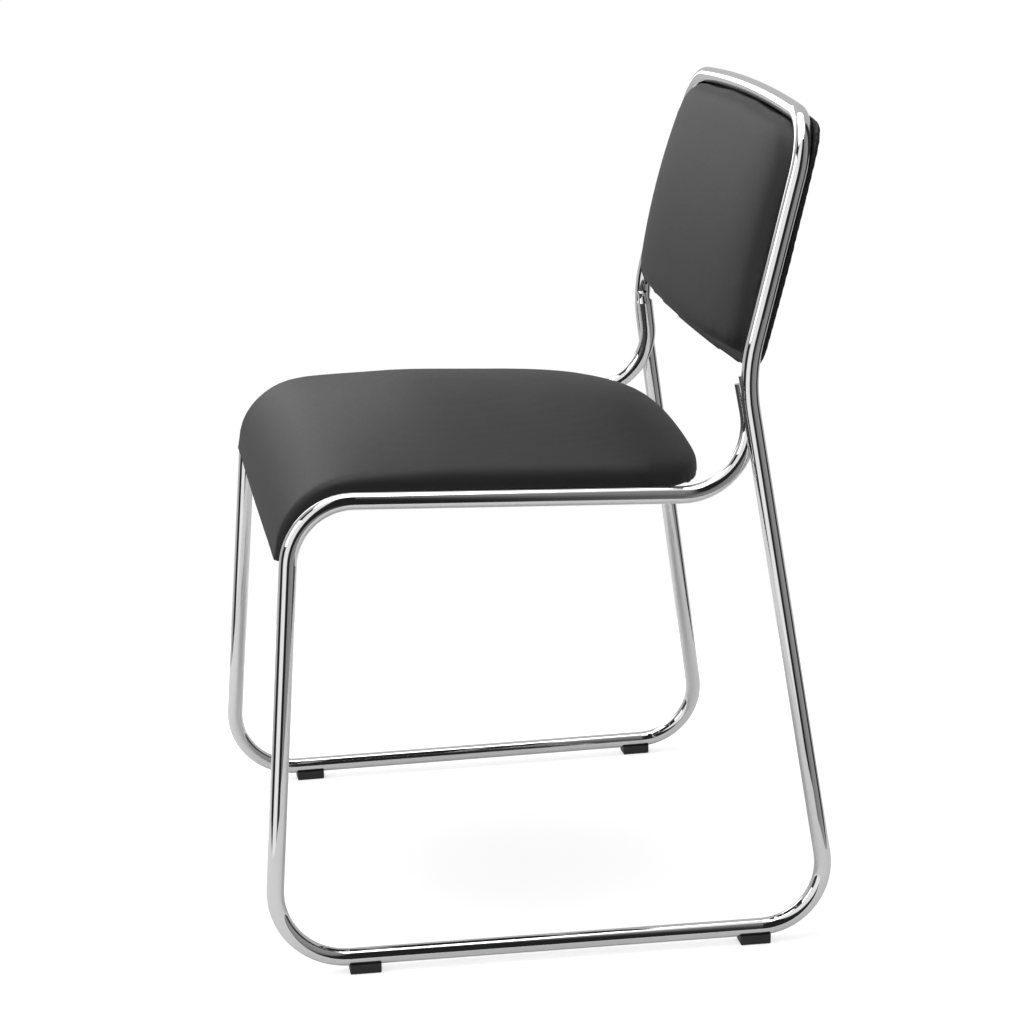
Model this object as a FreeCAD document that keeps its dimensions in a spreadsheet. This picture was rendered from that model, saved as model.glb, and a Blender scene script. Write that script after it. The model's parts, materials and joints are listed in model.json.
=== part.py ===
import FreeCAD, Part
import math
import os
import Sketcher
from FreeCAD import Vector, Placement, Rotation

# Sled base visitor chair: two bent tube side frames with runners, a back loop,
# an upholstered seat over the rails and an upholstered back between the uprights.
# Millimetres. +X is the sitter's left, the chair faces -Y, +Z is up.
# The origin is on the floor, under the middle of the chair.

doc = FreeCAD.newDocument("VisitorChair")
dims = doc.addObject("Spreadsheet::Sheet", "Dims")

SIZES = [
    ("tube_dia", 16.0, "outer diameter of the frame tube"),
    ("tube_wall", 1.5, "wall of the frame tube"),
    ("foot_lift", 6.4, "floor to the underside of the runner"),
    ("runner_spacing", 505.5, "distance between the two runners' centrelines"),
    ("side_lean", 4.44, "inward lean of a side frame, degrees"),
    ("upper_lean", 1.5, "inward lean of an upright, degrees"),
    ("front_reach", 261.9, "origin to the front leg's line at runner height"),
    ("rear_reach", 267.0, "origin to the rear leg's line at runner height"),
    ("front_rake", 4.06, "rearward rake of the front leg going up, degrees"),
    ("rear_rake", 9.15, "forward rake of the rear leg going up, degrees"),
    ("back_rake", 13.82, "recline of the back, degrees"),
    ("rail_height", 420.0, "rail above the runner, at the middle"),
    ("rail_fall", 2.3, "fall of the rail to the rear, degrees"),
    ("kink_height", 521.9, "corner of rear leg and upright above the runner"),
    ("joint_height", 575.0, "joint of side tube and back loop above the runner"),
    ("back_height", 756.0, "top of the back loop's centreline above the runner"),
    ("riser_top", 511.0, "end of the rail's riser above the runner"),
    ("riser_gap", 1.0, "gap between riser and rear leg at the riser's end"),
        ("toe_in", 11.0, "inward drift of a runner's front end"),
    ("rail_inset", 9.0, "inward drift of the rail at its rear bend"),
    ("bend_riser", 62.7, "centreline radius, rail to riser"),
    ("bend_front", 58.7, "centreline radius, rail to front leg"),
    ("bend_toe", 66.0, "centreline radius, front leg to runner"),
    ("bend_heel", 59.3, "centreline radius, runner to rear leg"),
    ("bend_kink", 157.0, "centreline radius, rear leg to upright"),
    ("bend_corner", 52.4, "centreline radius of the back loop's corners"),
    ("bar_radius", 2390.0, "arch of the back loop's top bar"),
    ("sleeve_length", 50.0, "inner sleeve at the tube joint"),
    ("sleeve_play", 0.1, "radial play of the sleeve in the tube"),
    ("weld_size", 5.0, "weld bead width"),
    ("cap_thick", 1.5, "closing disc on the riser's end"),
    ("bar_width", 30.0, "cross bars under the seat, flat steel"),
    ("bar_thick", 4.0, "thickness of a cross bar"),
    ("bar_front", 120.0, "front cross bar ahead of the origin"),
    ("bar_rear", 90.0, "rear cross bar behind the origin"),
    ("screw_dia", 5.0, "shank of the wood screws"),
    ("screw_head", 10.0, "head of the wood screws"),
    ("head_thick", 2.5, "height of a screw head"),
    ("screw_play", 0.2, "radial play of a screw in a steel part"),
    ("screw_bite", 5.5, "depth of a screw in its board"),
    ("seat_screw_x", 150.0, "seat screws from the middle"),
    ("board_thick", 7.0, "seat board"),
    ("cover_thick", 1.2, "leatherette"),
    ("soft_gap", 0.3, "foam to leatherette"),
    ("apron_drop", 49.0, "apron's lower edge below the rail height"),
    ("seat_rear", 161.5, "seat's rear edge behind the origin"),
    ("seat_side", 0.5, "gap between the seat's side and the rail"),
    ("seat_sink", 8.0, "seat's underside below the outside of the rails"),
    ("seat_crown", 46.6, "seat's crown above the rail's top"),
    ("nose_thick", 4.5, "apron's face ahead of the front legs"),
    ("shoulder_share", 0.38, "shoulder radius as a share of the seat's height"),
    ("seat_shoulder", 20.0, "rounding of the seat's sides"),
    ("rear_round", 86.0, "plan rounding of the seat's rear corners"),
    ("front_slope", 219.0, "length over which the crown rises from the apron"),
    ("rear_wall", 20.6, "height of the seat's rear edge above the rail's top"),
    ("rear_tuck", 12.0, "rear run over which the underside rises"),
    ("rear_lift", 6.0, "rise of the underside at the rear edge"),
    ("rear_slope", 132.0, "length over which the crown falls to the rear edge"),
    ("back_gap", 1.0, "back cushion to the uprights"),
    ("back_low", 536.0, "back's lower edge above the runner, at the uprights"),
    ("back_corner", 26.0, "back cushion's corner radius"),
    ("plate_spare", 50.0, "how far the uncut plates run past the back"),
    ("back_sag", 7.0, "how much the lower edge bows down in the middle"),
    ("back_crown", 27.0, "back's crown ahead of the uprights' centreline"),
    ("back_side", 10.0, "back's side edge ahead of the uprights' centreline"),
    ("back_board", 9.0, "back board"),
    ("back_seat", 3.0, "back board's rear face behind the uprights' centreline"),
    ("back_bulge", 7.0, "rise of the back's crown from its edge rounding"),
    ("back_edge", 25.0, "rounding of the back's upper and lower edges"),
    ("rear_side", 14.0, "rear cover's depth at its side edges"),
    ("rear_bulge", 1.5, "rise of the rear cover's face from its edge rounding"),
    ("rear_edge", 8.0, "rounding of the rear cover's edges"),
    ("rear_play", 0.3, "rear panel to the back of the tubes"),
    ("clip_dia", 7.0, "push-in clip of the rear panel"),
    ("clip_bite", 6.0, "depth of a clip in the back board"),
    ("clip_x", 120.0, "clips from the middle"),
    ("rear_depth", 16.0, "rear cover behind the uprights' centreline"),
    ("rear_board", 2.5, "rear panel's board"),
    ("rear_corner", 24.0, "rear cover's upper corner radius"),
    ("rear_over", 10.0, "rear cover's side edge beyond the back cushion's"),
    ("tab_length", 34.0, "steel tab on the upright"),
    ("tab_width", 22.0, "height of a tab"),
    ("tab_thick", 2.5, "tab's steel"),
    ("tab_low", 60.0, "lower tabs above the back's lower edge"),
    ("tab_high", 150.0, "upper tabs above the back's lower edge"),
    ("foot_length", 29.0, "foot"),
    ("foot_wall", 1.0, "foot's wall beside the tube"),
    ("foot_hug", 5.0, "top of the foot below the runner's centreline"),
    ("foot_front", 177.0, "front feet ahead of the origin"),
    ("foot_rear", 190.5, "rear feet behind the origin"),
    ("foot_screw", 3.5, "shank of the foot's screw"),
    ("foot_bite", 5.0, "depth of the foot's screw above the tube's underside"),
    ("foot_sink", 1.5, "foot screw's head above the floor"),
    ("foot_well", 8.0, "well for the foot screw's head"),
    ("foot_head", 7.0, "head of the foot's screw"),
    ("foot_head_thick", 1.6, "height of the foot screw's head"),
    ("foot_round", 1.5, "rounding of the foot's bottom edges"),
]

for row, (alias, value, note) in enumerate(SIZES, 1):
    dims.set("A%d" % row, alias)
    dims.set("B%d" % row, str(value))
    dims.set("C%d" % row, note)
    dims.setAlias("B%d" % row, alias)
doc.recompute()


def v(alias):
    """A driving size from the sheet."""
    return float(dims.get(alias))


def tan(alias):
    return math.tan(math.radians(v(alias)))


# Frame lines
tube_r = v("tube_dia") / 2
bore_d = v("tube_dia") - 2 * v("tube_wall")
base = v("foot_lift") + tube_r


def side_x(height):
    """Distance of the side frame's plane from the middle, above the runner."""
    low = min(height, v("kink_height"))
    high = max(height - v("kink_height"), 0.0)
    return v("runner_spacing") / 2 - tan("side_lean") * low - tan("upper_lean") * high


def spot(y, height, inset=0.0):
    return Vector(side_x(height) - inset, y, base + height)


def front_y(height):
    return -v("front_reach") + tan("front_rake") * height


def rear_y(height):
    return v("rear_reach") - tan("rear_rake") * height


def rail_z(y):
    return v("rail_height") - tan("rail_fall") * y


def upright_y(height):
    return rear_y(v("kink_height")) + tan("back_rake") * (height - v("kink_height"))


rail_rear_y = (rear_y(v("rail_height"))) / (1 - tan("rear_rake") * tan("rail_fall"))
rail_front_y = front_y(v("rail_height")) / (1 + tan("front_rake") * tan("rail_fall"))
riser_inset = v("tube_dia") + v("riser_gap")

riser_end = spot(rear_y(v("riser_top")), v("riser_top"), riser_inset)
rail_rear = spot(rail_rear_y, rail_z(rail_rear_y), v("rail_inset"))
rail_front = spot(rail_front_y, rail_z(rail_front_y))
toe = spot(front_y(0.0), 0.0, v("toe_in"))
heel = spot(rear_y(0.0), 0.0)
kink = spot(rear_y(v("kink_height")), v("kink_height"))
joint = spot(upright_y(v("joint_height")), v("joint_height"))
upright_dir = (joint - kink).normalize()
riser_dir = (riser_end - rail_rear).normalize()


def along(a, b, share):
    return a + (b - a) * share


def bent_path(points, radii):
    """Straight runs joined by tangent arcs."""
    edges = []
    last = points[0]
    for i, radius in enumerate(radii, 1):
        a = (points[i - 1] - points[i]).normalize()
        b = (points[i + 1] - points[i]).normalize()
        half = a.getAngle(b) / 2
        reach = radius / math.tan(half)
        centre = points[i] + (a + b).normalize() * (radius / math.sin(half))
        start = points[i] + a * reach
        end = points[i] + b * reach
        middle = centre + (points[i] - centre).normalize() * radius
        edges.append(Part.LineSegment(last, start).toShape())
        edges.append(Part.Arc(start, middle, end).toShape())
        last = end
    edges.append(Part.LineSegment(last, points[-1]).toShape())
    return Part.Wire(edges)


def rod(path, first, direction, diameter):
    """A round rod swept along a path."""
    ring = Part.Wire([Part.makeCircle(diameter / 2, first, direction)])
    return path.makePipeShell([ring], True, False)


middle_rail = along(rail_rear, rail_front, 0.5)
rail_path = bent_path([riser_end, rail_rear, middle_rail], [v("bend_riser")])
leg_path = bent_path(
    [middle_rail, rail_front, toe, heel, kink, joint],
    [v("bend_front"), v("bend_toe"), v("bend_heel"), v("bend_kink")],
)


def side_rod(diameter):
    rail = rod(rail_path, riser_end, riser_dir, diameter)
    leg = rod(leg_path, middle_rail, rail_front - middle_rail, diameter)
    return rail.fuse(leg).removeSplitter()


def feature(name, shape):
    """A part feature for a shape that the modelling features can't make."""
    item = doc.addObject("Part::Feature", name)
    item.Label = name
    item.Shape = shape
    return item


def mirrored(source, name):
    item = doc.addObject("Part::Mirroring", name)
    item.Label = name
    item.Source = source
    item.Normal = Vector(1, 0, 0)
    return item


def boolean(kind, name, first, second):
    item = doc.addObject("Part::" + kind, name)
    item.Label = name
    item.Base = first
    item.Tool = second
    return item


def body(name, placement=Placement()):
    item = doc.addObject("PartDesign::Body", name)
    item.Label = name
    item.Placement = placement
    return item


def sketch(owner, name, role, offset=Placement()):
    """A sketch on one of the body's own origin planes."""
    item = owner.newObject("Sketcher::SketchObject", name)
    plane = [f for f in owner.Origin.OriginFeatures if f.Role == role][0]
    item.AttachmentSupport = [(plane, "")]
    item.MapMode = "FlatFace"
    item.AttachmentOffset = offset
    return item


def bind(item, constraint, name, formula):
    item.renameConstraint(constraint, name)
    item.setExpression("Constraints." + name, formula)


def ring(item, name, formula, centre=None):
    """A circle about the sketch's origin or a point, its diameter from a formula."""
    place = centre or Vector(0, 0, 0)
    index = item.addGeometry(Part.Circle(place, Vector(0, 0, 1), 1.0), False)
    if centre is None:
        item.addConstraint(Sketcher.Constraint("Coincident", index, 3, -1, 1))
    mark = item.addConstraint(Sketcher.Constraint("Diameter", index, 2.0))
    bind(item, mark, name, formula)
    return index


def pad(owner, item, name, formula, middle=False):
    result = owner.newObject("PartDesign::Pad", name)
    result.Profile = item
    result.Midplane = middle
    result.Length = 1.0
    result.setExpression("Length", formula)
    item.Visibility = False
    return result


def turned(point, direction):
    """Placement with the local Z axis along a direction."""
    return Placement(point, Rotation(Vector(0, 0, 1), direction))


# Side frames
side_envelope = feature("side_envelope", side_rod(v("tube_dia")))
foot_y = {"front": -v("foot_front"), "rear": v("foot_rear")}


def runner_x(y):
    """Distance of a runner's centreline from the middle."""
    return toe.x + (heel.x - toe.x) * (y - toe.y) / (heel.y - toe.y)


pin_drill = [Part.makeCylinder(v("foot_screw") / 2, base, Vector(runner_x(y), y, 0)) for y in foot_y.values()]
side_bore = feature("side_bore", side_rod(bore_d).fuse(pin_drill))
left_tube = boolean("Cut", "side_tube_left", side_envelope, side_bore)
right_tube = mirrored(left_tube, "side_tube_right")
right_envelope = mirrored(side_envelope, "right_envelope")

# Back loop: a planar bent tube in the reclined plane of the uprights
recline = math.radians(v("back_rake"))
loop_place = Placement(Vector(0, joint.y, joint.z), Rotation(Vector(1, 0, 0), -v("back_rake")))
leg_slope = math.atan(tan("upper_lean") * math.cos(recline))
loop_top = (v("back_height") - v("joint_height")) / math.cos(recline)


def loop_corner(offset=0.0):
    """Centre and tangent points of the loop's corner arc for a line inside the tube."""
    inward = v("bend_corner")
    start = Vector(joint.x - inward * math.cos(leg_slope), -inward * math.sin(leg_slope), 0)
    step = Vector(-math.sin(leg_slope), math.cos(leg_slope), 0)
    hub = Vector(0, loop_top - v("bar_radius"), 0)
    reach = v("bar_radius") - inward
    gap = start - hub
    run = -gap.dot(step) + math.sqrt(gap.dot(step) ** 2 - gap.dot(gap) + reach ** 2)
    centre = start + step * run
    leg_end = centre + Vector(math.cos(leg_slope), math.sin(leg_slope), 0) * (inward - offset)
    bar_end = hub + (centre - hub).normalize() * (v("bar_radius") - offset)
    return centre, leg_end, bar_end


corner, leg_end, bar_end = loop_corner()
loop = body("back_loop_tube", loop_place)
path = sketch(loop, "loop_path", "XZ_Plane")
bar_top = Vector(0, loop_top, 0)


def mirror_x(point):
    return Vector(-point.x, point.y, point.z)


def toward(centre, a, b, radius):
    """Middle point of the arc between two directions."""
    return centre + ((a - centre).normalize() + (b - centre).normalize()).normalize() * radius


foot_r = Vector(joint.x, 0, 0)
corner_mid = toward(corner, leg_end, bar_end, v("bend_corner"))
path.addGeometry(Part.LineSegment(foot_r, leg_end), False)
path.addGeometry(Part.Arc(leg_end, corner_mid, bar_end), False)
path.addGeometry(Part.Arc(bar_end, bar_top, mirror_x(bar_end)), False)
path.addGeometry(Part.Arc(mirror_x(bar_end), mirror_x(corner_mid), mirror_x(leg_end)), False)
path.addGeometry(Part.LineSegment(mirror_x(leg_end), mirror_x(foot_r)), False)
mark = path.addConstraint(Sketcher.Constraint("Radius", 1, v("bend_corner")))
bind(path, mark, "corner", "Dims.bend_corner")
mark = path.addConstraint(Sketcher.Constraint("Radius", 3, v("bend_corner")))
bind(path, mark, "corner_right", "Dims.bend_corner")
mark = path.addConstraint(Sketcher.Constraint("Radius", 2, v("bar_radius")))
bind(path, mark, "arch", "Dims.bar_radius")
doc.recompute()
section = loop.newObject("Sketcher::SketchObject", "loop_section")
section.AttachmentSupport = [(path, "Edge1"), (path, "Vertex1")]
section.MapMode = "NormalToEdge"
doc.recompute()
ring(section, "outer", "Dims.tube_dia")
ring(section, "bore", "Dims.tube_dia - 2 * Dims.tube_wall")
doc.recompute()
pipe = loop.newObject("PartDesign::AdditivePipe", "loop_pipe")
pipe.Profile = section
pipe.Spine = (path, ["Edge1", "Edge2", "Edge3", "Edge4", "Edge5"])
pipe.Transition = "Transformed"
doc.recompute()

# Sleeves inside the two tube joints
def sleeve(name, place):
    item = body(name, place)
    rings = sketch(item, name + "_rings", "XY_Plane")
    ring(rings, "outer", "Dims.tube_dia - 2 * Dims.tube_wall - 2 * Dims.sleeve_play")
    ring(rings, "bore", "Dims.tube_dia - 4 * Dims.tube_wall - 2 * Dims.sleeve_play")
    pad(item, rings, name + "_pad", "Dims.sleeve_length", True)
    return item


sleeve("joint_sleeve_left", turned(joint, upright_dir))
sleeve("joint_sleeve_right", turned(mirror_x(joint), mirror_x(upright_dir)))


# Closing discs and weld beads where the rails' risers end on the rear legs
def disc(name, place):
    item = body(name, place)
    outline = sketch(item, name + "_outline", "XY_Plane")
    ring(outline, "outer", "Dims.tube_dia")
    pad(item, outline, name + "_pad", "Dims.cap_thick")
    return item


left_cap = disc("rail_end_cap_left", turned(riser_end, riser_dir))
disc("rail_end_cap_right", turned(mirror_x(riser_end), mirror_x(riser_dir)))

leg_point = Vector(side_x(v("riser_top")), rear_y(v("riser_top")), base + v("riser_top"))
bead_mid = along(riser_end, leg_point, 0.5) - riser_dir * v("weld_size")
bead_rod = Part.makeCylinder(v("weld_size"), 3 * v("weld_size"), bead_mid, riser_dir)
bead_stock = feature("bead_stock", bead_rod)
bead_blank = boolean("Cut", "bead_blank", bead_stock, side_envelope)
left_bead = boolean("Cut", "rail_weld_left", bead_blank, left_cap)
mirrored(left_bead, "rail_weld_right")

# Seat: the board's underside lies on the outside of the rails and their front bends
fall = math.radians(v("rail_fall"))
rake = math.radians(v("front_rake"))
turn = math.pi / 2 - rake + fall
line_r = v("bend_front") + tube_r
rail_back = Vector(0, math.cos(fall), -math.sin(fall))


def normal(angle):
    """Outward normal of the seat's line: 0 is up, 90 degrees is forward."""
    return Vector(0, -math.sin(angle), math.cos(angle))


bend_end = Vector(0, rail_front.y, rail_front.z) + rail_back * (v("bend_front") * math.tan(turn / 2))
bend_hub = bend_end - normal(-fall) * v("bend_front")
leg_down = Vector(0, -math.sin(rake), -math.cos(rake))
apron_z = base + v("rail_height") - v("apron_drop")
leg_start = bend_hub + normal(math.pi / 2 - rake) * line_r
apron_run = (leg_start.z - apron_z) / math.cos(rake)
bend_stop = apron_run + turn * line_r
top_start = bend_hub + normal(-fall) * line_r
seat_end = bend_stop + (v("seat_rear") - top_start.y) / math.cos(fall)


def seat_point(run, lift):
    """Point of the middle plane at a run along the seat's line and a height above it."""
    if run < apron_run:
        return leg_start + leg_down * (apron_run - run) + normal(math.pi / 2 - rake) * lift
    if run < bend_stop:
        angle = math.pi / 2 - rake - (run - apron_run) / line_r
        return bend_hub + normal(angle) * (line_r + lift)
    return top_start + rail_back * (run - bend_stop) + normal(-fall) * lift


def ease(share):
    share = min(max(share, 0.0), 1.0)
    return share * share * (3 - 2 * share)


def quarter(share, power=2.0):
    return (1 - min(max(share, 0.0), 1.0) ** power) ** (1 / power)


def rail_x(y):
    share = min(max((y - rail_front.y) / (rail_rear.y - rail_front.y), 0.0), 1.0)
    return rail_front.x + (rail_rear.x - rail_front.x) * share


def seat_size(run):
    """Half width and crown height of the seat at a run along its line."""
    crown = v("nose_thick") + (v("seat_crown") - v("nose_thick")) * ease((run - apron_run) / v("front_slope"))
    fade = quarter((run - seat_end + v("rear_slope")) / v("rear_slope"), 1.5)
    crown = v("rear_wall") + (crown - v("rear_wall")) * fade if fade < 1 else crown
    half = rail_x(seat_point(run, 0).y) - tube_r - v("seat_side")
    half -= v("rear_round") * (1 - quarter((run - seat_end + v("rear_round")) / v("rear_round")))
    return half, crown


def seat_section(run, inset, floor):
    """Closed section: flat underside, upright sides, round shoulders, a crown tangent to them."""
    half, crown = seat_size(run)
    half -= inset
    crown -= inset
    radius = min(v("seat_shoulder") - inset, v("shoulder_share") * (crown + v("seat_sink")))
    base_lift = min(0.0, 0.75 * crown - radius)
    low, high = 0.001, 1.5
    for step in range(40):
        lean = (low + high) / 2
        flat_half = half - radius + radius * math.sin(lean)
        rise = radius * math.cos(lean) + base_lift + flat_half * math.tan(lean / 2)
        low, high = (lean, high) if rise < crown else (low, lean)

    def place(x, lift):
        return seat_point(run, lift) + Vector(x, 0, 0)

    def shoulder(angle, side=1):
        return place(side * (half - radius + radius * math.cos(angle)), radius * math.sin(angle) + base_lift)

    stop = math.pi / 2 - lean
    edges = [
        Part.LineSegment(place(half, floor), shoulder(0)).toShape(),
        Part.Arc(shoulder(0), shoulder(stop / 2), shoulder(stop)).toShape(),
        Part.Arc(shoulder(stop), place(0, crown), shoulder(stop, -1)).toShape(),
        Part.Arc(shoulder(stop, -1), shoulder(stop / 2, -1), shoulder(0, -1)).toShape(),
        Part.LineSegment(shoulder(0, -1), place(-half, floor)).toShape(),
        Part.LineSegment(place(-half, floor), place(half, floor)).toShape(),
    ]
    return Part.Wire(edges)


def seat_form(inset, floor, trim):
    """Loft of the seat along its line, trimmed at both ends."""
    first, last = trim, seat_end - trim
    runs = [first]
    runs += [apron_run + (bend_stop - apron_run) * k / 5 for k in range(1, 6)]
    flat_end = seat_end - v("rear_slope")
    runs += [bend_stop + (flat_end - bend_stop) * k / 5 for k in range(1, 6)]
    for share in (0.25, 0.5, 0.7, 0.85, 0.94, 1.0):
        runs.append(flat_end + (last - flat_end) * share)
    sections = []
    for run in runs:
        tuck = max(0.0, 1 - (last - run) / v("rear_tuck"))
        sections.append(seat_section(run, inset, floor + v("rear_lift") * tuck ** 2))
    return Part.makeLoft(sections, True, False)


underside = -v("seat_sink")
seat_skin = feature("seat_skin", seat_form(0.0, underside, 0.0))
seat_cavity = feature("seat_cavity", seat_form(v("cover_thick"), underside - 1, v("cover_thick")))
fill = v("cover_thick") + v("soft_gap")
seat_fill = feature("seat_fill", seat_form(fill, underside - 1, fill))
boolean("Cut", "seat_cover", seat_skin, seat_cavity)

# Seat board: a bent plate that follows the rails, kept inside the cover
def flat(run, lift):
    point = seat_point(run, lift)
    return Vector(point.y, point.z, 0)


def bent_plate(name, under):
    """Plate over the rails and their front bends, from a depth under them to the board's top."""
    item = body(name)
    outline = sketch(item, name + "_outline", "YZ_Plane")
    low, high = underside - under, underside + v("board_thick")
    bend_mid = (apron_run + bend_stop) / 2
    runs = (-v("board_thick"), apron_run, bend_stop, seat_end + v("board_thick"))
    a, b, c, d = [flat(run, low) for run in runs]
    e, f, g, h = [flat(run, high) for run in reversed(runs)]
    outline.addGeometry(Part.LineSegment(a, b), False)
    outline.addGeometry(Part.Arc(b, flat(bend_mid, low), c), False)
    outline.addGeometry(Part.LineSegment(c, d), False)
    outline.addGeometry(Part.LineSegment(d, e), False)
    outline.addGeometry(Part.LineSegment(e, f), False)
    outline.addGeometry(Part.Arc(f, flat(bend_mid, high), g), False)
    outline.addGeometry(Part.LineSegment(g, h), False)
    outline.addGeometry(Part.LineSegment(h, a), False)
    mark = outline.addConstraint(Sketcher.Constraint("Radius", 5, line_r + high))
    bind(outline, mark, "upper", "Dims.bend_front + Dims.tube_dia / 2 - Dims.seat_sink + Dims.board_thick")
    pad(item, outline, name + "_pad", "Dims.runner_spacing", True)
    doc.recompute()
    return item


slab = bent_plate("seat_slab", 0.0)
cutter = bent_plate("seat_cutter", tube_r)


def bar_frame(y):
    """Placement of a cross bar: local Z square to the rail, origin on the board's underside."""
    level = base + rail_z(y) + (tube_r - v("seat_sink")) / math.cos(fall)
    return Placement(Vector(0, y, level), Rotation(Vector(1, 0, 0), -v("rail_fall")))


bar_frames = {"front": bar_frame(-v("bar_front")), "rear": bar_frame(v("bar_rear"))}


def pocket(owner, item, name):
    """A pocket through the whole body, both ways from the sketch."""
    result = owner.newObject("PartDesign::Pocket", name)
    result.Profile = item
    result.Type = "ThroughAll"
    result.Midplane = True
    item.Visibility = False
    return result


def rectangle(item, width, height, width_formula, height_formula):
    """A rectangle centred on the sketch's origin."""
    a, b = width / 2, height / 2
    corners = [Vector(-a, -b, 0), Vector(a, -b, 0), Vector(a, b, 0), Vector(-a, b, 0)]
    for k in range(4):
        item.addGeometry(Part.LineSegment(corners[k], corners[(k + 1) % 4]), False)
    for k in range(4):
        item.addConstraint(Sketcher.Constraint("Coincident", k, 2, (k + 1) % 4, 1))
    item.addConstraint(Sketcher.Constraint("Horizontal", 0))
    item.addConstraint(Sketcher.Constraint("Vertical", 1))
    item.addConstraint(Sketcher.Constraint("Symmetric", 0, 1, 1, 2, -1, 1))
    item.addConstraint(Sketcher.Constraint("Symmetric", 1, 1, 2, 2, -1, 1))
    mark = item.addConstraint(Sketcher.Constraint("DistanceX", 0, 1, 0, 2, width))
    bind(item, mark, "width", width_formula)
    mark = item.addConstraint(Sketcher.Constraint("DistanceY", 1, 1, 1, 2, height))
    bind(item, mark, "height", height_formula)


for end, frame in bar_frames.items():
    name = "seat_bar_" + end
    bar = body(name + "_stock", frame)
    outline = sketch(bar, name + "_outline", "XY_Plane")
    length = 2 * rail_x(frame.Base.y)
    rectangle(outline, length, v("bar_width"), "Dims.runner_spacing * %.6f" % (length / v("runner_spacing")),
              "Dims.bar_width")
    strip = pad(bar, outline, name + "_pad", "Dims.bar_thick")
    strip.Reversed = True
    doc.recompute()
    drill = sketch(bar, name + "_drill", "XY_Plane")
    for side in (-1, 1):
        ring(drill, "hole_left" if side > 0 else "hole_right",
                     "Dims.screw_dia + 2 * Dims.screw_play", Vector(side * v("seat_screw_x"), 0, 0))
    pocket(bar, drill, name + "_holes")
    doc.recompute()
    half = boolean("Cut", name + "_half", bar, side_envelope)
    boolean("Cut", name, half, right_envelope)

drill = feature("seat_board_drill", Part.makeCompound([
    Part.makeCylinder(v("screw_dia") / 2, 4 * v("board_thick"),
                      frame.multVec(Vector(side * v("seat_screw_x"), 0, 0)),
                      frame.Rotation.multVec(Vector(0, 0, 1)))
    for frame in bar_frames.values() for side in (-1, 1)
]))
board_blank = boolean("Common", "seat_board_blank", seat_fill, slab)
boolean("Cut", "seat_board", board_blank, drill)
boolean("Cut", "seat_foam", seat_fill, cutter)


def screw(name, place, shank, head, thick, length):
    """Pan head screw: the head's bearing face is at the local origin."""
    item = body(name, place)
    stem = sketch(item, name + "_stem", "XY_Plane")
    ring(stem, "stem", shank)
    pad(item, stem, name + "_shank", length)
    doc.recompute()
    top = sketch(item, name + "_top", "XY_Plane")
    ring(top, "top", head)
    cap = pad(item, top, name + "_head", thick)
    cap.Reversed = True
    return item


def group(name, items):
    item = doc.addObject("Part::Compound", name)
    item.Label = name
    item.Links = items
    return item


group("seat_screws", [
    screw("seat_screw_%s_%d" % (end, side), Placement(
        frame.multVec(Vector(side * v("seat_screw_x"), 0, -v("bar_thick"))), frame.Rotation),
        "Dims.screw_dia", "Dims.screw_head", "Dims.head_thick", "Dims.bar_thick + Dims.screw_bite")
    for end, frame in bar_frames.items() for side in (-1, 1)
])

# Back: sections across the loop's own plane, n ahead of the uprights' centreline
low_edge = (v("back_low") - v("joint_height")) / math.cos(recline)
hub_w = loop_top - v("bar_radius")


def back_point(x, n, w):
    return loop_place.multVec(Vector(x, -n, w))


def side_edge(w, margin):
    return joint.x - w * math.tan(leg_slope) - margin


def upper_edge(x, margin, radius):
    """Height of the upper edge: it follows the bar and rounds into the sides."""
    turn_x = side_edge(corner.y, margin) - radius
    line = hub_w + math.sqrt((v("bar_radius") - margin) ** 2 - min(x, turn_x) ** 2)
    into = min(max(x - turn_x, 0.0), radius)
    return line - radius + math.sqrt(radius ** 2 - into ** 2)


def lower_edge(x, margin):
    reach = side_edge(low_edge, margin)
    radius = v("back_corner")
    line = low_edge - v("back_sag") * (1 - (x / reach) ** 2) + margin - tube_r - v("back_gap")
    into = min(max(x - reach + radius, 0), radius)
    return line + radius - math.sqrt(radius ** 2 - into ** 2)


def back_section(share, margin, corner_r, n_back, n_face, n_side, bulge, radius):
    """Closed section at a share of the half width, flat behind and rounded at its edges."""
    top = upper_edge(abs(share) * side_edge(corner.y, margin), margin, corner_r)
    low = lower_edge(abs(share) * side_edge(low_edge, margin), margin)
    face = n_side + (n_face - n_side) * math.sqrt(1 - share ** 4)
    way = 1 if n_face > n_back else -1
    depth = abs(face - n_back)
    dome = bulge * depth / abs(n_face - n_back)
    r = min(radius, 0.8 * (depth - dome))
    flank = depth - dome - r

    def place(n, w):
        return back_point(share * side_edge(w, margin), n_back + way * n, w)

    turn = r * math.sqrt(0.5)
    edges = [
        Part.LineSegment(place(0, low), place(flank, low)).toShape(),
        Part.Arc(place(flank, low), place(flank + turn, low + r - turn), place(depth - dome, low + r)).toShape(),
        Part.Arc(place(depth - dome, low + r), place(depth, (low + top) / 2),
                 place(depth - dome, top - r)).toShape(),
        Part.Arc(place(depth - dome, top - r), place(flank + turn, top - r + turn), place(flank, top)).toShape(),
        Part.LineSegment(place(flank, top), place(0, top)).toShape(),
        Part.LineSegment(place(0, top), place(0, low)).toShape(),
    ]
    return Part.Wire(edges)


half_shares = (0.0, 0.35, 0.62, 0.8, 0.88, 0.94, 0.98, 1.0)
back_shares = [-share for share in reversed(half_shares[1:])] + list(half_shares)


def back_form(inset, skirt):
    return Part.makeLoft([back_section(
        share, tube_r + v("back_gap") + inset, v("bend_corner") - tube_r - v("back_gap") - inset,
        -v("back_seat") - skirt, v("back_crown") - inset,
        v("back_side") - inset, v("back_bulge"), v("back_edge") - inset)
        for share in back_shares], True, False)


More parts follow.
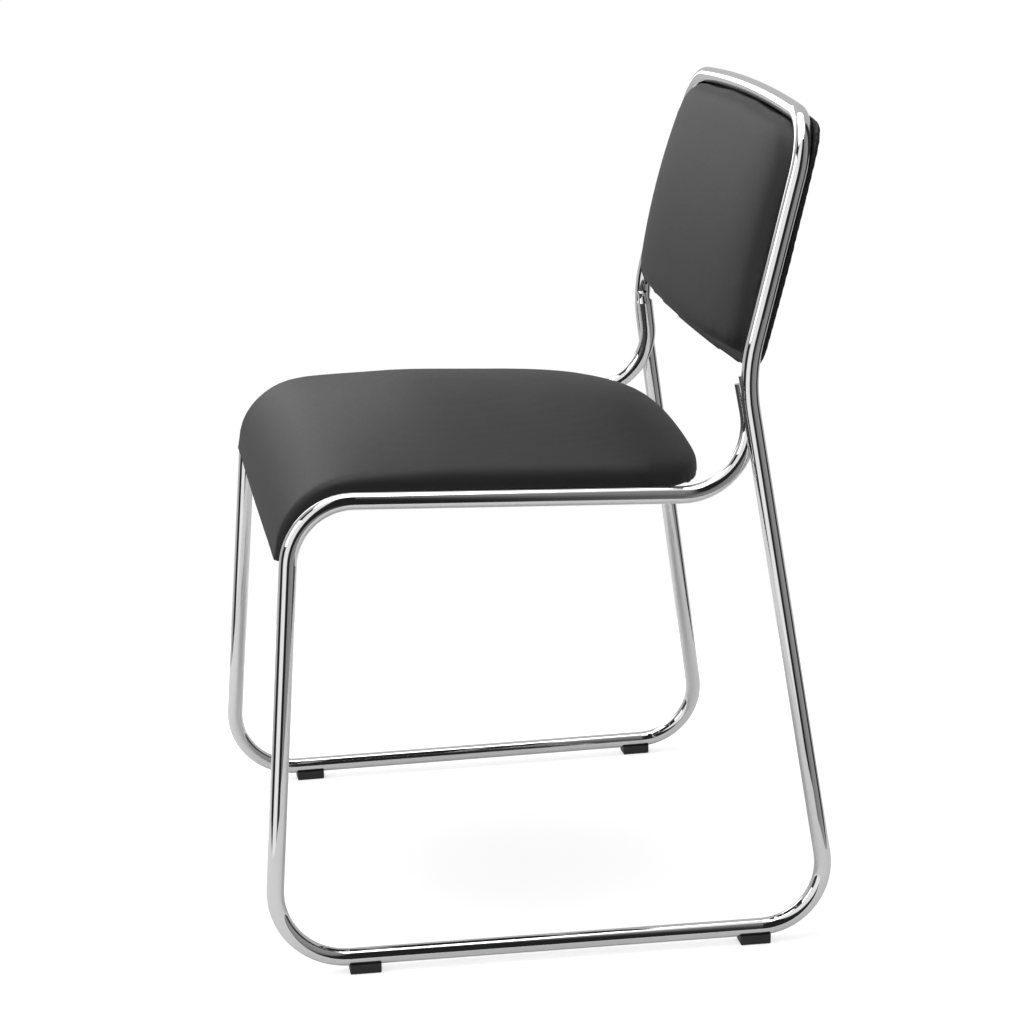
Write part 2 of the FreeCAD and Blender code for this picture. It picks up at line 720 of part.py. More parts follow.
def rear_form(inset, skirt):
    return Part.makeLoft([back_section(
        share, tube_r + v("back_gap") - v("rear_over") + inset, v("rear_corner") - inset,
        skirt - tube_r - v("rear_play"),
        inset - v("rear_depth"), inset - v("rear_side"), v("rear_bulge"), v("rear_edge") - inset)
        for share in back_shares], True, False)


def plate(name, n_back, thick):
    """A flat plate in the loop's plane, larger than the back."""
    item = body(name, loop_place)
    outline = sketch(item, name + "_outline", "XZ_Plane", Placement(Vector(0, 0, n_back), Rotation()))
    corners = [Vector(-1, low_edge - v("plate_spare"), 0), Vector(1, low_edge - v("plate_spare"), 0),
               Vector(1, loop_top + v("plate_spare"), 0), Vector(-1, loop_top + v("plate_spare"), 0)]
    for k in range(4):
        outline.addGeometry(Part.LineSegment(corners[k], corners[(k + 1) % 4]), False)
    for k in range(4):
        outline.addConstraint(Sketcher.Constraint("Coincident", k, 2, (k + 1) % 4, 1))
        if k:
            outline.addConstraint(Sketcher.Constraint("Horizontal" if k == 2 else "Vertical", k))
    outline.addConstraint(Sketcher.Constraint("Symmetric", 0, 1, 0, 2, -2))
    mark = outline.addConstraint(Sketcher.Constraint("DistanceX", 0, 1, 0, 2, 2.0))
    bind(outline, mark, "width", "Dims.runner_spacing")
    pad(item, outline, name + "_pad", thick)
    doc.recompute()
    return item


back_skin = feature("back_skin", back_form(0.0, 0.0))
back_cavity = feature("back_cavity", back_form(v("cover_thick"), 1.0))
back_fill = feature("back_fill", back_form(fill, 0.0))
boolean("Cut", "back_cover", back_skin, back_cavity)
back_plate = plate("back_plate", -v("back_seat"), "Dims.back_board")

rear_skin = feature("rear_skin", rear_form(0.0, 0.0))
rear_cavity = feature("rear_cavity", rear_form(v("cover_thick"), 1.0))
rear_fill = feature("rear_fill", rear_form(fill, 0.0))
boolean("Cut", "rear_cover", rear_skin, rear_cavity)
rear_face = -tube_r - v("rear_play")
rear_plate = plate("rear_plate", rear_face - v("rear_board"), "Dims.rear_board")
boolean("Common", "rear_board", rear_fill, rear_plate)
boolean("Cut", "rear_foam", rear_fill, rear_plate)

# Tabs on the uprights carry the back board, clips carry the rear panel
tab_levels = {"low": low_edge + v("tab_low"), "high": low_edge + v("tab_high")}
loop_edges = [
    Part.LineSegment(foot_r, leg_end), Part.Arc(leg_end, corner_mid, bar_end),
    Part.Arc(bar_end, bar_top, mirror_x(bar_end)),
    Part.Arc(mirror_x(bar_end), mirror_x(corner_mid), mirror_x(leg_end)),
    Part.LineSegment(mirror_x(leg_end), mirror_x(foot_r)),
]
loop_core = rod(Part.Wire([edge.toShape() for edge in loop_edges]), foot_r,
                leg_end - foot_r, v("tube_dia"))
loop_core.rotate(Vector(0, 0, 0), Vector(1, 0, 0), 90)
loop_envelope = feature("loop_envelope", loop_core)
loop_envelope.Placement = loop_place.multiply(loop_envelope.Placement)
ahead = Rotation(Vector(0, 0, 1), Vector(0, -1, 0))
screw_inset = v("tab_length") - v("screw_head")


def level_frame(x, n, w):
    """Placement in the loop's plane, local Z pointing ahead."""
    return Placement(back_point(x, n, w), loop_place.Rotation.multiply(ahead))


tab_spots = [(side, name, w, side_edge(w, tube_r)) for side in (1, -1) for name, w in tab_levels.items()]
tabs = {1: [], -1: []}
for side, level, w, reach in tab_spots:
    name = "tab_%s_%d" % (level, side)
    tab = body(name + "_stock", level_frame(side * (reach - v("tab_length") / 2 + tube_r / 2),
                                            -v("back_seat") - v("tab_thick"), w))
    outline = sketch(tab, name + "_outline", "XY_Plane")
    rectangle(outline, v("tab_length"), v("tab_width"), "Dims.tab_length", "Dims.tab_width")
    pad(tab, outline, name + "_pad", "Dims.tab_thick")
    doc.recompute()
    hole = feature(name + "_hole", Part.makeCylinder(
        v("screw_dia") / 2 + v("screw_play"), 4 * v("tab_thick"),
        back_point(side * (reach - screw_inset), -v("back_seat") - 2 * v("tab_thick"), w),
        loop_place.Rotation.multVec(Vector(0, -1, 0))))
    drilled = boolean("Cut", name + "_drilled", tab, hole)
    tabs[side].append(boolean("Cut", name, drilled, loop_envelope))
group("back_tabs_left", tabs[1])
group("back_tabs_right", tabs[-1])

group("back_screws", [
    screw("back_screw_%s_%d" % (level, side),
          level_frame(side * (reach - screw_inset), -v("back_seat") - v("tab_thick"), w),
          "Dims.screw_dia", "Dims.screw_head", "Dims.head_thick", "Dims.tab_thick + Dims.screw_bite")
    for side, level, w, reach in tab_spots
])


def clip(name, place):
    """Plain pin from the rear panel into the back board."""
    item = body(name, place)
    outline = sketch(item, name + "_outline", "XY_Plane")
    ring(outline, "pin", "Dims.clip_dia")
    pad(item, outline, name + "_pad",
        "Dims.tube_dia / 2 + Dims.rear_play - Dims.back_seat + Dims.clip_bite")
    return item


clip_spots = [(side * v("clip_x"), w) for side in (1, -1) for w in tab_levels.values()]
group("panel_clips", [
    clip("clip_%d" % k, level_frame(x, rear_face, w)) for k, (x, w) in enumerate(clip_spots)
])

forward = loop_place.Rotation.multVec(Vector(0, -1, 0))
pilots = [Part.makeCylinder(v("screw_dia") / 2, v("screw_bite"),
                            back_point(side * (reach - screw_inset), -v("back_seat"), w), forward)
          for side, level, w, reach in tab_spots]
pilots += [Part.makeCylinder(v("clip_dia") / 2, v("clip_bite"),
                             back_point(x, -v("back_seat"), w), forward) for x, w in clip_spots]
back_drill = feature("back_drill", Part.makeCompound(pilots))
back_blank = boolean("Common", "back_blank", back_fill, back_plate)
boolean("Cut", "back_board", back_blank, back_drill)
boolean("Cut", "back_foam", back_fill, back_plate)


# Feet: saddle glides under the runners, each held by a screw from below
def foot(name, place, yaw):
    item = body(name, Placement(place + Vector(0, 0, base), Rotation(Vector(0, 0, 1), -yaw)))
    outline = sketch(item, name + "_outline", "XZ_Plane")
    half = tube_r + v("foot_wall")
    corners = [Vector(-half, -base, 0), Vector(half, -base, 0),
               Vector(half, -v("foot_hug"), 0), Vector(-half, -v("foot_hug"), 0)]
    for k in range(4):
        outline.addGeometry(Part.LineSegment(corners[k], corners[(k + 1) % 4]), False)
    for k in range(4):
        outline.addConstraint(Sketcher.Constraint("Coincident", k, 2, (k + 1) % 4, 1))
        if k:
            outline.addConstraint(Sketcher.Constraint("Horizontal" if k == 2 else "Vertical", k))
    outline.addConstraint(Sketcher.Constraint("Symmetric", 0, 1, 0, 2, -2))
    mark = outline.addConstraint(Sketcher.Constraint("DistanceX", 0, 1, 0, 2, 2 * half))
    bind(outline, mark, "width", "Dims.tube_dia + 2 * Dims.foot_wall")
    mark = outline.addConstraint(Sketcher.Constraint("DistanceY", 0, 1, -1, 1, base))
    bind(outline, mark, "drop", "Dims.foot_lift + Dims.tube_dia / 2")
    mark = outline.addConstraint(Sketcher.Constraint("DistanceY", 2, 1, -1, 1, v("foot_hug")))
    bind(outline, mark, "hug", "Dims.foot_hug")
    block = pad(item, outline, name + "_block", "Dims.foot_length", True)
    doc.recompute()
    low = ["Edge%d" % (k + 1) for k, edge in enumerate(block.Shape.Edges)
           if edge.BoundBox.ZMax < 1 - base or
           (edge.BoundBox.ZLength > 1 and edge.BoundBox.XLength + edge.BoundBox.YLength < 0.01)]
    rounded = item.newObject("PartDesign::Fillet", name + "_round")
    rounded.Base = (block, low)
    rounded.Radius = 1.0
    rounded.setExpression("Radius", "Dims.foot_round")
    doc.recompute()
    groove = sketch(item, name + "_groove", "XZ_Plane")
    ring(groove, "groove", "Dims.tube_dia")
    pocket(item, groove, name + "_saddle")
    doc.recompute()
    drill = sketch(item, name + "_drill", "XY_Plane")
    ring(drill, "hole", "Dims.foot_screw + 2 * Dims.screw_play")
    pocket(item, drill, name + "_hole")
    doc.recompute()
    well = sketch(item, name + "_well", "XY_Plane", Placement(Vector(0, 0, -base), Rotation()))
    ring(well, "well", "Dims.foot_well")
    sink = item.newObject("PartDesign::Pocket", name + "_sink")
    sink.Profile = well
    sink.Reversed = True
    sink.Length = 1.0
    sink.setExpression("Length", "Dims.foot_sink + Dims.foot_head_thick")
    well.Visibility = False
    doc.recompute()
    return item


foot_spots = {}
for end, y in foot_y.items():
    for hand, side in (("left", 1), ("right", -1)):
        name = "foot_%s_%s" % (end, hand)
        foot_spots[name] = Vector(side * runner_x(y), y, 0)
        foot(name, foot_spots[name], side * math.degrees(math.atan2(heel.x - toe.x, heel.y - toe.y)))
group("foot_screws", [
    screw(name + "_screw", Placement(spot_low + Vector(0, 0, v("foot_sink") + v("foot_head_thick")), Rotation()),
          "Dims.foot_screw", "Dims.foot_head", "Dims.foot_head_thick",
          "Dims.foot_lift - Dims.foot_sink - Dims.foot_head_thick + Dims.foot_bite")
    for name, spot_low in foot_spots.items()
])

doc.recompute()

NODES = [
    "side_tube_left", "side_tube_right", "back_loop_tube",
    "joint_sleeve_left", "joint_sleeve_right",
    "rail_end_cap_left", "rail_end_cap_right", "rail_weld_left", "rail_weld_right",
    "seat_bar_front", "seat_bar_rear", "seat_board", "seat_foam", "seat_cover", "seat_screws",
    "back_board", "back_foam", "back_cover", "back_tabs_left", "back_tabs_right", "back_screws",
    "rear_board", "rear_foam", "rear_cover", "panel_clips",
    "foot_front_left", "foot_front_right", "foot_rear_left", "foot_rear_right", "foot_screws",
]

failed = [item.Label for item in doc.Objects if "Invalid" in item.State or "Error" in item.State]
if failed:
    raise RuntimeError("not built: " + ", ".join(failed))
pieces = []
for node in NODES:
    shape = doc.getObjectsByLabel(node)[0].Shape
    if shape.isNull() or not shape.isValid() or not shape.Solids:
        raise RuntimeError("bad shape: " + node)
    pieces.append((node, shape))
os.makedirs("parts", exist_ok=True)
for node, shape in pieces:
    shape.exportStep("parts/%s.step" % node)
    print(node, len(shape.Solids), round(shape.Volume))
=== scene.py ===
import bmesh
import bpy
import json
import math
from mathutils import Matrix, Vector


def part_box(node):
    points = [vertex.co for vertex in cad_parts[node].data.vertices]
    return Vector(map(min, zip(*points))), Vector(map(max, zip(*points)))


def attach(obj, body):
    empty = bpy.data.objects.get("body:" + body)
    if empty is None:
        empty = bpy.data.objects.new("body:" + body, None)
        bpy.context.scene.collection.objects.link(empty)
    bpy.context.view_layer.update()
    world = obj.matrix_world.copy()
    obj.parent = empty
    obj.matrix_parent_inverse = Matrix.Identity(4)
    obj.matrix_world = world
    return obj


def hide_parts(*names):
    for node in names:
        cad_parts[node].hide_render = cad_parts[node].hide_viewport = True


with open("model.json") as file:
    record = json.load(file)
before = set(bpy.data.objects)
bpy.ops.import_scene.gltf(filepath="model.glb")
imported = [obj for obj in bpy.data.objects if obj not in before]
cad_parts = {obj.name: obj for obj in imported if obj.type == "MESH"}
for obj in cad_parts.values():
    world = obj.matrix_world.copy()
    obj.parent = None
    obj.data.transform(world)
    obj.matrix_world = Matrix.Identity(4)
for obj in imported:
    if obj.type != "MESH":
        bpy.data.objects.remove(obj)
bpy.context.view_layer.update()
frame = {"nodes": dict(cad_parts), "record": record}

nodes = frame["nodes"]
scene = bpy.context.scene
view_layer = bpy.context.view_layer


# Shader helpers

def new_material(name):
    """An empty material with an output and a Principled shader."""
    material = bpy.data.materials.new(name)
    material.use_nodes = True
    tree = material.node_tree
    tree.nodes.clear()
    output = tree.nodes.new("ShaderNodeOutputMaterial")
    shader = tree.nodes.new("ShaderNodeBsdfPrincipled")
    tree.links.new(shader.outputs["BSDF"], output.inputs["Surface"])
    return material, tree, shader


def node(tree, kind, **settings):
    item = tree.nodes.new(kind)
    for key, value in settings.items():
        setattr(item, key, value)
    return item


def noise(tree, scale, detail, roughness=0.5):
    """A noise texture that returns its factor."""
    item = node(tree, "ShaderNodeTexNoise")
    item.inputs["Scale"].default_value = scale
    item.inputs["Detail"].default_value = detail
    item.inputs["Roughness"].default_value = roughness
    return item


def remap(tree, source, low, high, out_low, out_high):
    """Maps a value from one range to another."""
    item = node(tree, "ShaderNodeMapRange")
    item.inputs["From Min"].default_value = low
    item.inputs["From Max"].default_value = high
    item.inputs["To Min"].default_value = out_low
    item.inputs["To Max"].default_value = out_high
    tree.links.new(source, item.inputs["Value"])
    return item.outputs["Result"]


def group_tree(name, inputs, outputs):
    """A shader node group with named float inputs and outputs."""
    tree = bpy.data.node_groups.new(name, "ShaderNodeTree")
    for label, kind, value in inputs:
        socket = tree.interface.new_socket(name=label, in_out="INPUT", socket_type=kind)
        if value is not None:
            socket.default_value = value
    for label, kind in outputs:
        tree.interface.new_socket(name=label, in_out="OUTPUT", socket_type=kind)
    return tree, node(tree, "NodeGroupInput"), node(tree, "NodeGroupOutput")


def speckle_group():
    """Fine surface wear: a slow mottle and small marks, from Object coordinates."""
    tree, given, made = group_tree(
        "surface_wear",
        [("Vector", "NodeSocketVector", None), ("Scale", "NodeSocketFloat", 1.0)],
        [("Mottle", "NodeSocketFloat"), ("Marks", "NodeSocketFloat")])
    grown = node(tree, "ShaderNodeVectorMath", operation="SCALE")
    tree.links.new(given.outputs["Vector"], grown.inputs[0])
    tree.links.new(given.outputs["Scale"], grown.inputs["Scale"])
    slow = noise(tree, 9.0, 3.0)
    fine = noise(tree, 240.0, 2.0, 0.6)
    for item in (slow, fine):
        tree.links.new(grown.outputs["Vector"], item.inputs["Vector"])
    tree.links.new(slow.outputs["Fac"], made.inputs["Mottle"])
    tree.links.new(remap(tree, fine.outputs["Fac"], 0.62, 0.78, 0.0, 1.0), made.inputs["Marks"])
    return tree


def grain_group():
    """Fine leather grain: a cell pattern whose creases are low, with soft dents over it."""
    tree, given, made = group_tree(
        "leather_grain",
        [("Vector", "NodeSocketVector", None), ("Cell", "NodeSocketFloat", 900.0)],
        [("Height", "NodeSocketFloat"), ("Dents", "NodeSocketFloat")])
    warp = noise(tree, 300.0, 2.0)
    tree.links.new(given.outputs["Vector"], warp.inputs["Vector"])
    shift = node(tree, "ShaderNodeVectorMath", operation="SCALE")
    shift.inputs["Scale"].default_value = 0.0009
    tree.links.new(warp.outputs["Color"], shift.inputs[0])
    place = node(tree, "ShaderNodeVectorMath", operation="ADD")
    tree.links.new(given.outputs["Vector"], place.inputs[0])
    tree.links.new(shift.outputs["Vector"], place.inputs[1])
    cells = node(tree, "ShaderNodeTexVoronoi", feature="DISTANCE_TO_EDGE")
    tree.links.new(place.outputs["Vector"], cells.inputs["Vector"])
    tree.links.new(given.outputs["Cell"], cells.inputs["Scale"])
    tree.links.new(remap(tree, cells.outputs["Distance"], 0.0, 0.28, 0.0, 1.0), made.inputs["Height"])
    dents = noise(tree, 26.0, 3.0)
    tree.links.new(given.outputs["Vector"], dents.inputs["Vector"])
    tree.links.new(dents.outputs["Fac"], made.inputs["Dents"])
    return tree


wear = speckle_group()
grain = grain_group()


def placed(tree, group, **values):
    """A node group fed by Object coordinates, with its own values."""
    item = node(tree, "ShaderNodeGroup", node_tree=group)
    coordinates = node(tree, "ShaderNodeTexCoord")
    tree.links.new(coordinates.outputs["Object"], item.inputs["Vector"])
    for key, value in values.items():
        item.inputs[key].default_value = value
    return item


def bump(tree, shader, height, strength, distance):
    item = node(tree, "ShaderNodeBump")
    item.inputs["Strength"].default_value = strength
    item.inputs["Distance"].default_value = distance
    tree.links.new(height, item.inputs["Height"])
    tree.links.new(item.outputs["Normal"], shader.inputs["Normal"])


def tinted(tree, shader, factor, low_colour, high_colour):
    """Base colour between two colours."""
    mix = node(tree, "ShaderNodeMix", data_type="RGBA")
    mix.inputs["A"].default_value = (*low_colour, 1.0)
    mix.inputs["B"].default_value = (*high_colour, 1.0)
    tree.links.new(factor, mix.inputs["Factor"])
    tree.links.new(mix.outputs["Result"], shader.inputs["Base Color"])


def metal(name, low_colour, high_colour, rough_low, rough_high, bump_strength, bump_distance):
    """Plated or bare metal with a slight mottle and fine marks."""
    material, tree, shader = new_material(name)
    marks = placed(tree, wear, Scale=1.0)
    tinted(tree, shader, marks.outputs["Mottle"], low_colour, high_colour)
    shader.inputs["Metallic"].default_value = 1.0
    tree.links.new(remap(tree, marks.outputs["Marks"], 0.0, 1.0, rough_low, rough_high),
                   shader.inputs["Roughness"])
    bump(tree, shader, marks.outputs["Mottle"], bump_strength, bump_distance)
    return material


def plastic(name, low_colour, high_colour, rough_low, rough_high):
    """Moulded plastic or board with a fine matt texture."""
    material, tree, shader = new_material(name)
    marks = placed(tree, wear, Scale=3.0)
    tinted(tree, shader, marks.outputs["Mottle"], low_colour, high_colour)
    tree.links.new(remap(tree, marks.outputs["Marks"], 0.0, 1.0, rough_low, rough_high),
                   shader.inputs["Roughness"])
    bump(tree, shader, marks.outputs["Marks"], 0.25, 0.0003)
    return material


def leatherette(name, low_colour, high_colour):
    """Smooth black leatherette with a fine grain and a soft sheen."""
    material, tree, shader = new_material(name)
    pores = placed(tree, grain, Cell=850.0)
    tinted(tree, shader, pores.outputs["Dents"], low_colour, high_colour)
    tree.links.new(remap(tree, pores.outputs["Height"], 0.0, 1.0, 0.62, 0.52), shader.inputs["Roughness"])
    shader.inputs["Specular IOR Level"].default_value = 0.36
    bump(tree, shader, pores.outputs["Height"], 0.16, 0.00012)
    return material


finishes = {
    "frame_chrome": metal("chrome_plate", (0.74, 0.74, 0.745), (0.8, 0.8, 0.8), 0.045, 0.11, 0.02, 0.0002),
    "plain_steel": metal("bare_steel", (0.42, 0.42, 0.43), (0.56, 0.56, 0.56), 0.3, 0.42, 0.1, 0.0002),
    "screw_steel": metal("screw_plate", (0.5, 0.5, 0.5), (0.62, 0.62, 0.61), 0.22, 0.36, 0.05, 0.0002),
    "board": plastic("plywood_edge", (0.36, 0.25, 0.14), (0.5, 0.37, 0.23), 0.65, 0.8),
    "padding": plastic("foam_core", (0.62, 0.6, 0.52), (0.72, 0.7, 0.62), 0.85, 0.95),
    "leatherette": leatherette("black_leatherette", (0.0125, 0.0125, 0.013), (0.0175, 0.0175, 0.018)),
    "foot_plastic": plastic("black_glide", (0.012, 0.012, 0.012), (0.022, 0.022, 0.022), 0.42, 0.6),
    "clip_plastic": plastic("black_clip", (0.02, 0.02, 0.02), (0.03, 0.03, 0.03), 0.4, 0.55),
}

slot_of = {part["node"]: part["material_slot"] for part in frame["record"]["subparts"]}
for name, item in nodes.items():
    item.data.materials.clear()
    item.data.materials.append(finishes[slot_of[name]])


# Upholstery: board, foam and cover as one closed form, remeshed and softened

roll_steps = 40  # smoothing passes where the cover rolls over
rear_roll = 0.06  # length of the seat's rear end that rolls over


def merged_copy(source, name):
    """A copy of a node's mesh with its doubles merged."""
    mesh = bmesh.new()
    mesh.from_mesh(source.data)
    bmesh.ops.remove_doubles(mesh, verts=mesh.verts, dist=0.00002)
    data = bpy.data.meshes.new(name)
    mesh.to_mesh(data)
    mesh.free()
    copy = bpy.data.objects.new(name, data)
    scene.collection.objects.link(copy)
    return copy


def apply_modifiers(item):
    """Keeps what the modifiers make as the piece's own mesh."""
    shaped = bpy.data.meshes.new_from_object(item.evaluated_get(bpy.context.evaluated_depsgraph_get()))
    old = item.data
    item.modifiers.clear()
    item.data = shaped
    bpy.data.meshes.remove(old)


def voxel_remesh(item, size):
    remesh = item.modifiers.new("remesh", "REMESH")
    remesh.mode = "VOXEL"
    remesh.voxel_size = size
    remesh.adaptivity = 0.0
    apply_modifiers(item)


def cushion(name, sources, voxel, rounded):
    """A padded piece in the room of its board, foam and cover, softened where the cover rolls over."""
    whole = merged_copy(nodes[sources[0]], name)
    for other in sources[1:]:
        extra = merged_copy(nodes[other], name + "_extra")
        mesh = bmesh.new()
        mesh.from_mesh(whole.data)
        mesh.from_mesh(extra.data)
        mesh.to_mesh(whole.data)
        mesh.free()
        bpy.data.objects.remove(extra)
    voxel_remesh(whole, voxel)
    keep_largest(whole)
    mesh = bmesh.new()
    mesh.from_mesh(whole.data)
    every = {"factor": 0.5, "use_axis_x": True, "use_axis_y": True, "use_axis_z": True}
    soft = [point for point in mesh.verts if rounded(point)]
    for step in range(roll_steps):
        bmesh.ops.smooth_vert(mesh, verts=soft, **every)
    bmesh.ops.smooth_vert(mesh, verts=mesh.verts, **every)
    mesh.to_mesh(whole.data)
    mesh.free()
    for face in whole.data.polygons:
        face.use_smooth = True
    whole.data.materials.clear()
    whole.data.materials.append(finishes["leatherette"])
    finer = whole.modifiers.new("finer", "SUBSURF")
    finer.levels = 1
    finer.render_levels = 1
    return whole


def keep_largest(item):
    """Drops the closed inner shells that the remesh leaves around thin gaps."""
    mesh = bmesh.new()
    mesh.from_mesh(item.data)
    left = set(mesh.verts)
    shells = []
    while left:
        seed = left.pop()
        shell, edge = {seed}, [seed]
        while edge:
            point = edge.pop()
            for line in point.link_edges:
                other = line.other_vert(point)
                if other in left:
                    left.discard(other)
                    shell.add(other)
                    edge.append(other)
        shells.append(shell)
    shells.sort(key=len)
    for shell in shells[:-1]:
        bmesh.ops.delete(mesh, geom=list(shell), context="VERTS")
    mesh.to_mesh(item.data)
    mesh.free()


seat_low, seat_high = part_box("seat_cover")


def seat_round(point):
    """The rear end above the board, where the real cover rolls over."""
    return point.co.y > seat_high.y - rear_roll and point.normal.z > -0.5


def face_round(point):
    """The back's front face."""
    return point.normal.y < -0.1


def none_round(point):
    """The rear panel keeps its flat face and tight edges."""
    return False


seat_cushion = cushion("seat_cushion", ("seat_cover", "seat_foam", "seat_board"), 0.0032, seat_round)
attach(seat_cushion, "root")
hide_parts("seat_cover", "seat_foam", "seat_board")

back_cushion = cushion("back_cushion", ("back_cover", "back_foam", "back_board"), 0.003, face_round)
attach(back_cushion, "root")
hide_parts("back_cover", "back_foam", "back_board")

rear_cushion = cushion("rear_cushion", ("rear_cover", "rear_foam", "rear_board"), 0.0025, none_round)
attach(rear_cushion, "root")
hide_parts("rear_cover", "rear_foam", "rear_board")


# Floor: a round pale sheet, white to the camera and dimmer in the chrome, so that the legs stay in sight

floor_radius = 0.8
floor_glow = 0.62
glow_in_metal = 0.12


def shown_rays(tree, reflected):
    """1 for rays from the camera, and a lower value for rays off metal or through glass."""
    path = node(tree, "ShaderNodeLightPath")
    total = path.outputs["Is Camera Ray"]
    for label in ("Is Glossy Ray", "Is Transmission Ray"):
        share = node(tree, "ShaderNodeMath", operation="MULTIPLY")
        share.inputs[1].default_value = reflected
        tree.links.new(path.outputs[label], share.inputs[0])
        either = node(tree, "ShaderNodeMath", operation="MAXIMUM")
        tree.links.new(total, either.inputs[0])
        tree.links.new(share.outputs["Value"], either.inputs[1])
        total = either.outputs["Value"]
    return total


def floor_material():
    """A pale sheet that keeps the object's shadow, with a glow for the rays that show it."""
    material, tree, shader = new_material("white_floor")
    shader.inputs["Base Color"].default_value = (0.8, 0.8, 0.8, 1.0)
    shader.inputs["Roughness"].default_value = 0.9
    shader.inputs["Specular IOR Level"].default_value = 0.0
    glow = node(tree, "ShaderNodeEmission")
    glow.inputs["Strength"].default_value = floor_glow
    both = node(tree, "ShaderNodeAddShader")
    tree.links.new(shader.outputs["BSDF"], both.inputs[0])
    tree.links.new(glow.outputs["Emission"], both.inputs[1])
    choose = node(tree, "ShaderNodeMixShader")
    tree.links.new(shown_rays(tree, glow_in_metal), choose.inputs["Fac"])
    tree.links.new(shader.outputs["BSDF"], choose.inputs[1])
    tree.links.new(both.outputs["Shader"], choose.inputs[2])
    output = next(item for item in tree.nodes if item.type == "OUTPUT_MATERIAL")
    tree.links.new(choose.outputs["Shader"], output.inputs["Surface"])
    return material


mesh = bmesh.new()
bmesh.ops.create_circle(mesh, cap_ends=True, segments=96, radius=floor_radius)
data = bpy.data.meshes.new("floor")
mesh.to_mesh(data)
mesh.free()
floor = bpy.data.objects.new("floor", data)
scene.collection.objects.link(floor)
floor.data.materials.append(floor_material())


# World: white to the camera, a dim room with bright and dark bands for the chrome

world = bpy.data.worlds.new("studio")
scene.world = world
world.use_nodes = True
tree = world.node_tree
tree.nodes.clear()
output = node(tree, "ShaderNodeOutputWorld")
seen = node(tree, "ShaderNodeBackground")
seen.inputs["Color"].default_value = (1.0, 1.0, 1.0, 1.0)
lit = node(tree, "ShaderNodeBackground")
lit.inputs["Strength"].default_value = 1.0
direction = node(tree, "ShaderNodeTexCoord")
parts = node(tree, "ShaderNodeSeparateXYZ")
tree.links.new(direction.outputs["Generated"], parts.inputs["Vector"])


def levels(source, stops):
    """Grey levels along a value from 0 to 1."""
    ramp = node(tree, "ShaderNodeValToRGB")
    tree.links.new(source, ramp.inputs["Fac"])
    elements = ramp.color_ramp.elements
    elements[0].position, elements[1].position = stops[0][0], stops[-1][0]
    elements[0].color = (stops[0][1],) * 3 + (1.0,)
    elements[1].color = (stops[-1][1],) * 3 + (1.0,)
    for position, level in stops[1:-1]:
        elements.new(position).color = (level, level, level, 1.0)
    return ramp.outputs["Color"]


# Bearing from the front, counted towards the sitter's left, as turns from 0 to 1
bearing = node(tree, "ShaderNodeMath", operation="ARCTAN2")
front = node(tree, "ShaderNodeMath", operation="MULTIPLY")
front.inputs[1].default_value = -1.0
tree.links.new(parts.outputs["Y"], front.inputs[0])
tree.links.new(parts.outputs["X"], bearing.inputs[0])
tree.links.new(front.outputs["Value"], bearing.inputs[1])
turns = remap(tree, bearing.outputs["Value"], -math.pi, math.pi, 0.0, 1.0)
cards = [(-180, 0.03), (-171, 0.03), (-163, 0.5), (-60, 0.62), (-20, 0.5), (-10, 0.02), (18, 0.02), (27, 1.0),
         (68, 1.0), (75, 0.02), (102, 0.02), (110, 0.24), (158, 0.34), (166, 0.03), (180, 0.03)]
walls = levels(turns, [((degrees + 180) / 360, level) for degrees, level in cards])
height = remap(tree, parts.outputs["Z"], -1.0, 1.0, 0.0, 1.0)
ceiling = levels(height, [(0.0, 0.0), (0.955, 0.0), (0.975, 1.0), (1.0, 1.0)])
blend = node(tree, "ShaderNodeMix", data_type="RGBA")
tree.links.new(ceiling, blend.inputs["Factor"])
tree.links.new(walls, blend.inputs["A"])
blend.inputs["B"].default_value = (1.0, 1.0, 1.0, 1.0)
path = node(tree, "ShaderNodeLightPath")
even = node(tree, "ShaderNodeMix", data_type="RGBA")
tree.links.new(path.outputs["Is Diffuse Ray"], even.inputs["Factor"])
tree.links.new(blend.outputs["Result"], even.inputs["A"])
even.inputs["B"].default_value = (0.34, 0.34, 0.34, 1.0)
tree.links.new(even.outputs["Result"], lit.inputs["Color"])
choose = node(tree, "ShaderNodeMixShader")
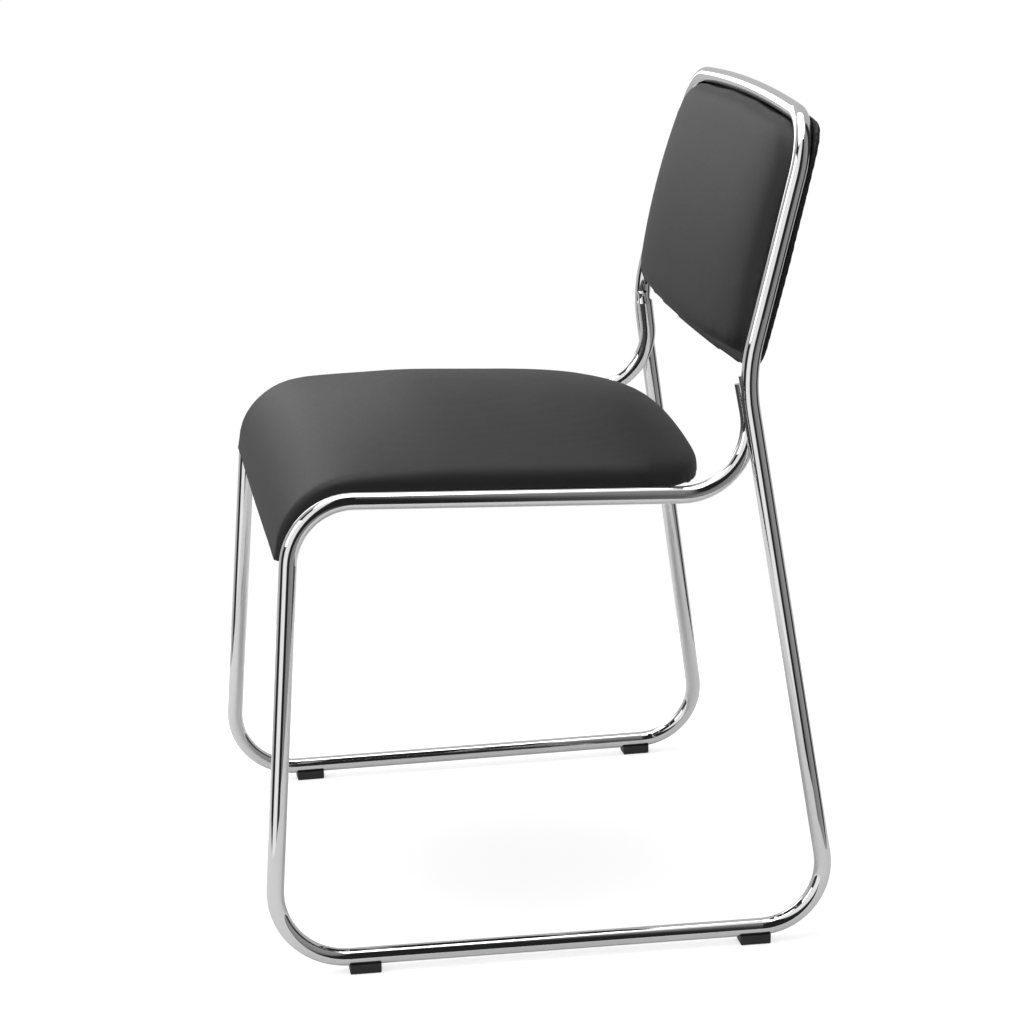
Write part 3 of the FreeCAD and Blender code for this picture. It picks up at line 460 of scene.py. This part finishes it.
tree.links.new(path.outputs["Is Camera Ray"], choose.inputs["Fac"])
tree.links.new(lit.outputs["Background"], choose.inputs[1])
tree.links.new(seen.outputs["Background"], choose.inputs[2])
tree.links.new(choose.outputs["Shader"], output.inputs["Surface"])


# Soft lamps

def softbox(name, place, target, size, power):
    lamp = bpy.data.lights.new(name, "AREA")
    lamp.shape = "RECTANGLE"
    lamp.size, lamp.size_y = size
    lamp.energy = power
    item = bpy.data.objects.new(name, lamp)
    item.location = place
    item.rotation_mode = "QUATERNION"
    item.rotation_quaternion = (Vector(target) - Vector(place)).to_track_quat("-Z", "Y")
    scene.collection.objects.link(item)
    return item


softbox("overhead", (-0.1, -0.3, 2.5), (0.0, 0.0, 0.3), (2.0, 2.0), 32.0)
softbox("key", (0.5, -2.6, 1.5), (0.0, 0.0, 0.5), (1.4, 1.4), 13.0)
softbox("fill", (-2.2, -0.8, 1.4), (0.0, 0.0, 0.4), (1.4, 1.4), 10.0)


# Camera at the photograph's viewing angle

azimuth, elevation, roll = math.radians(79.784), math.radians(15.819), math.radians(-0.282)
distance = 2.5252
runner_height = 0.0144
target = Vector((0.0, 0.0063, 0.3461 + runner_height))
away = Vector((math.sin(azimuth) * math.cos(elevation), -math.cos(azimuth) * math.cos(elevation),
               math.sin(elevation)))
right = (-away).cross(Vector((0.0, 0.0, 1.0))).normalized()
up = right.cross(-away)
turned_right = math.cos(roll) * right + math.sin(roll) * up
turned_up = -math.sin(roll) * right + math.cos(roll) * up
eye = target + away * distance
lens = bpy.data.cameras.new("camera")
lens.sensor_width = 36.0
lens.lens = 90.14
lens.clip_start, lens.clip_end = 0.1, 60.0
camera = bpy.data.objects.new("camera", lens)
scene.collection.objects.link(camera)
camera.matrix_world = Matrix((
    (turned_right.x, turned_up.x, away.x, eye.x),
    (turned_right.y, turned_up.y, away.y, eye.y),
    (turned_right.z, turned_up.z, away.z, eye.z),
    (0.0, 0.0, 0.0, 1.0)))
scene.camera = camera

scene.view_settings.view_transform = "Standard"

view_layer.update()
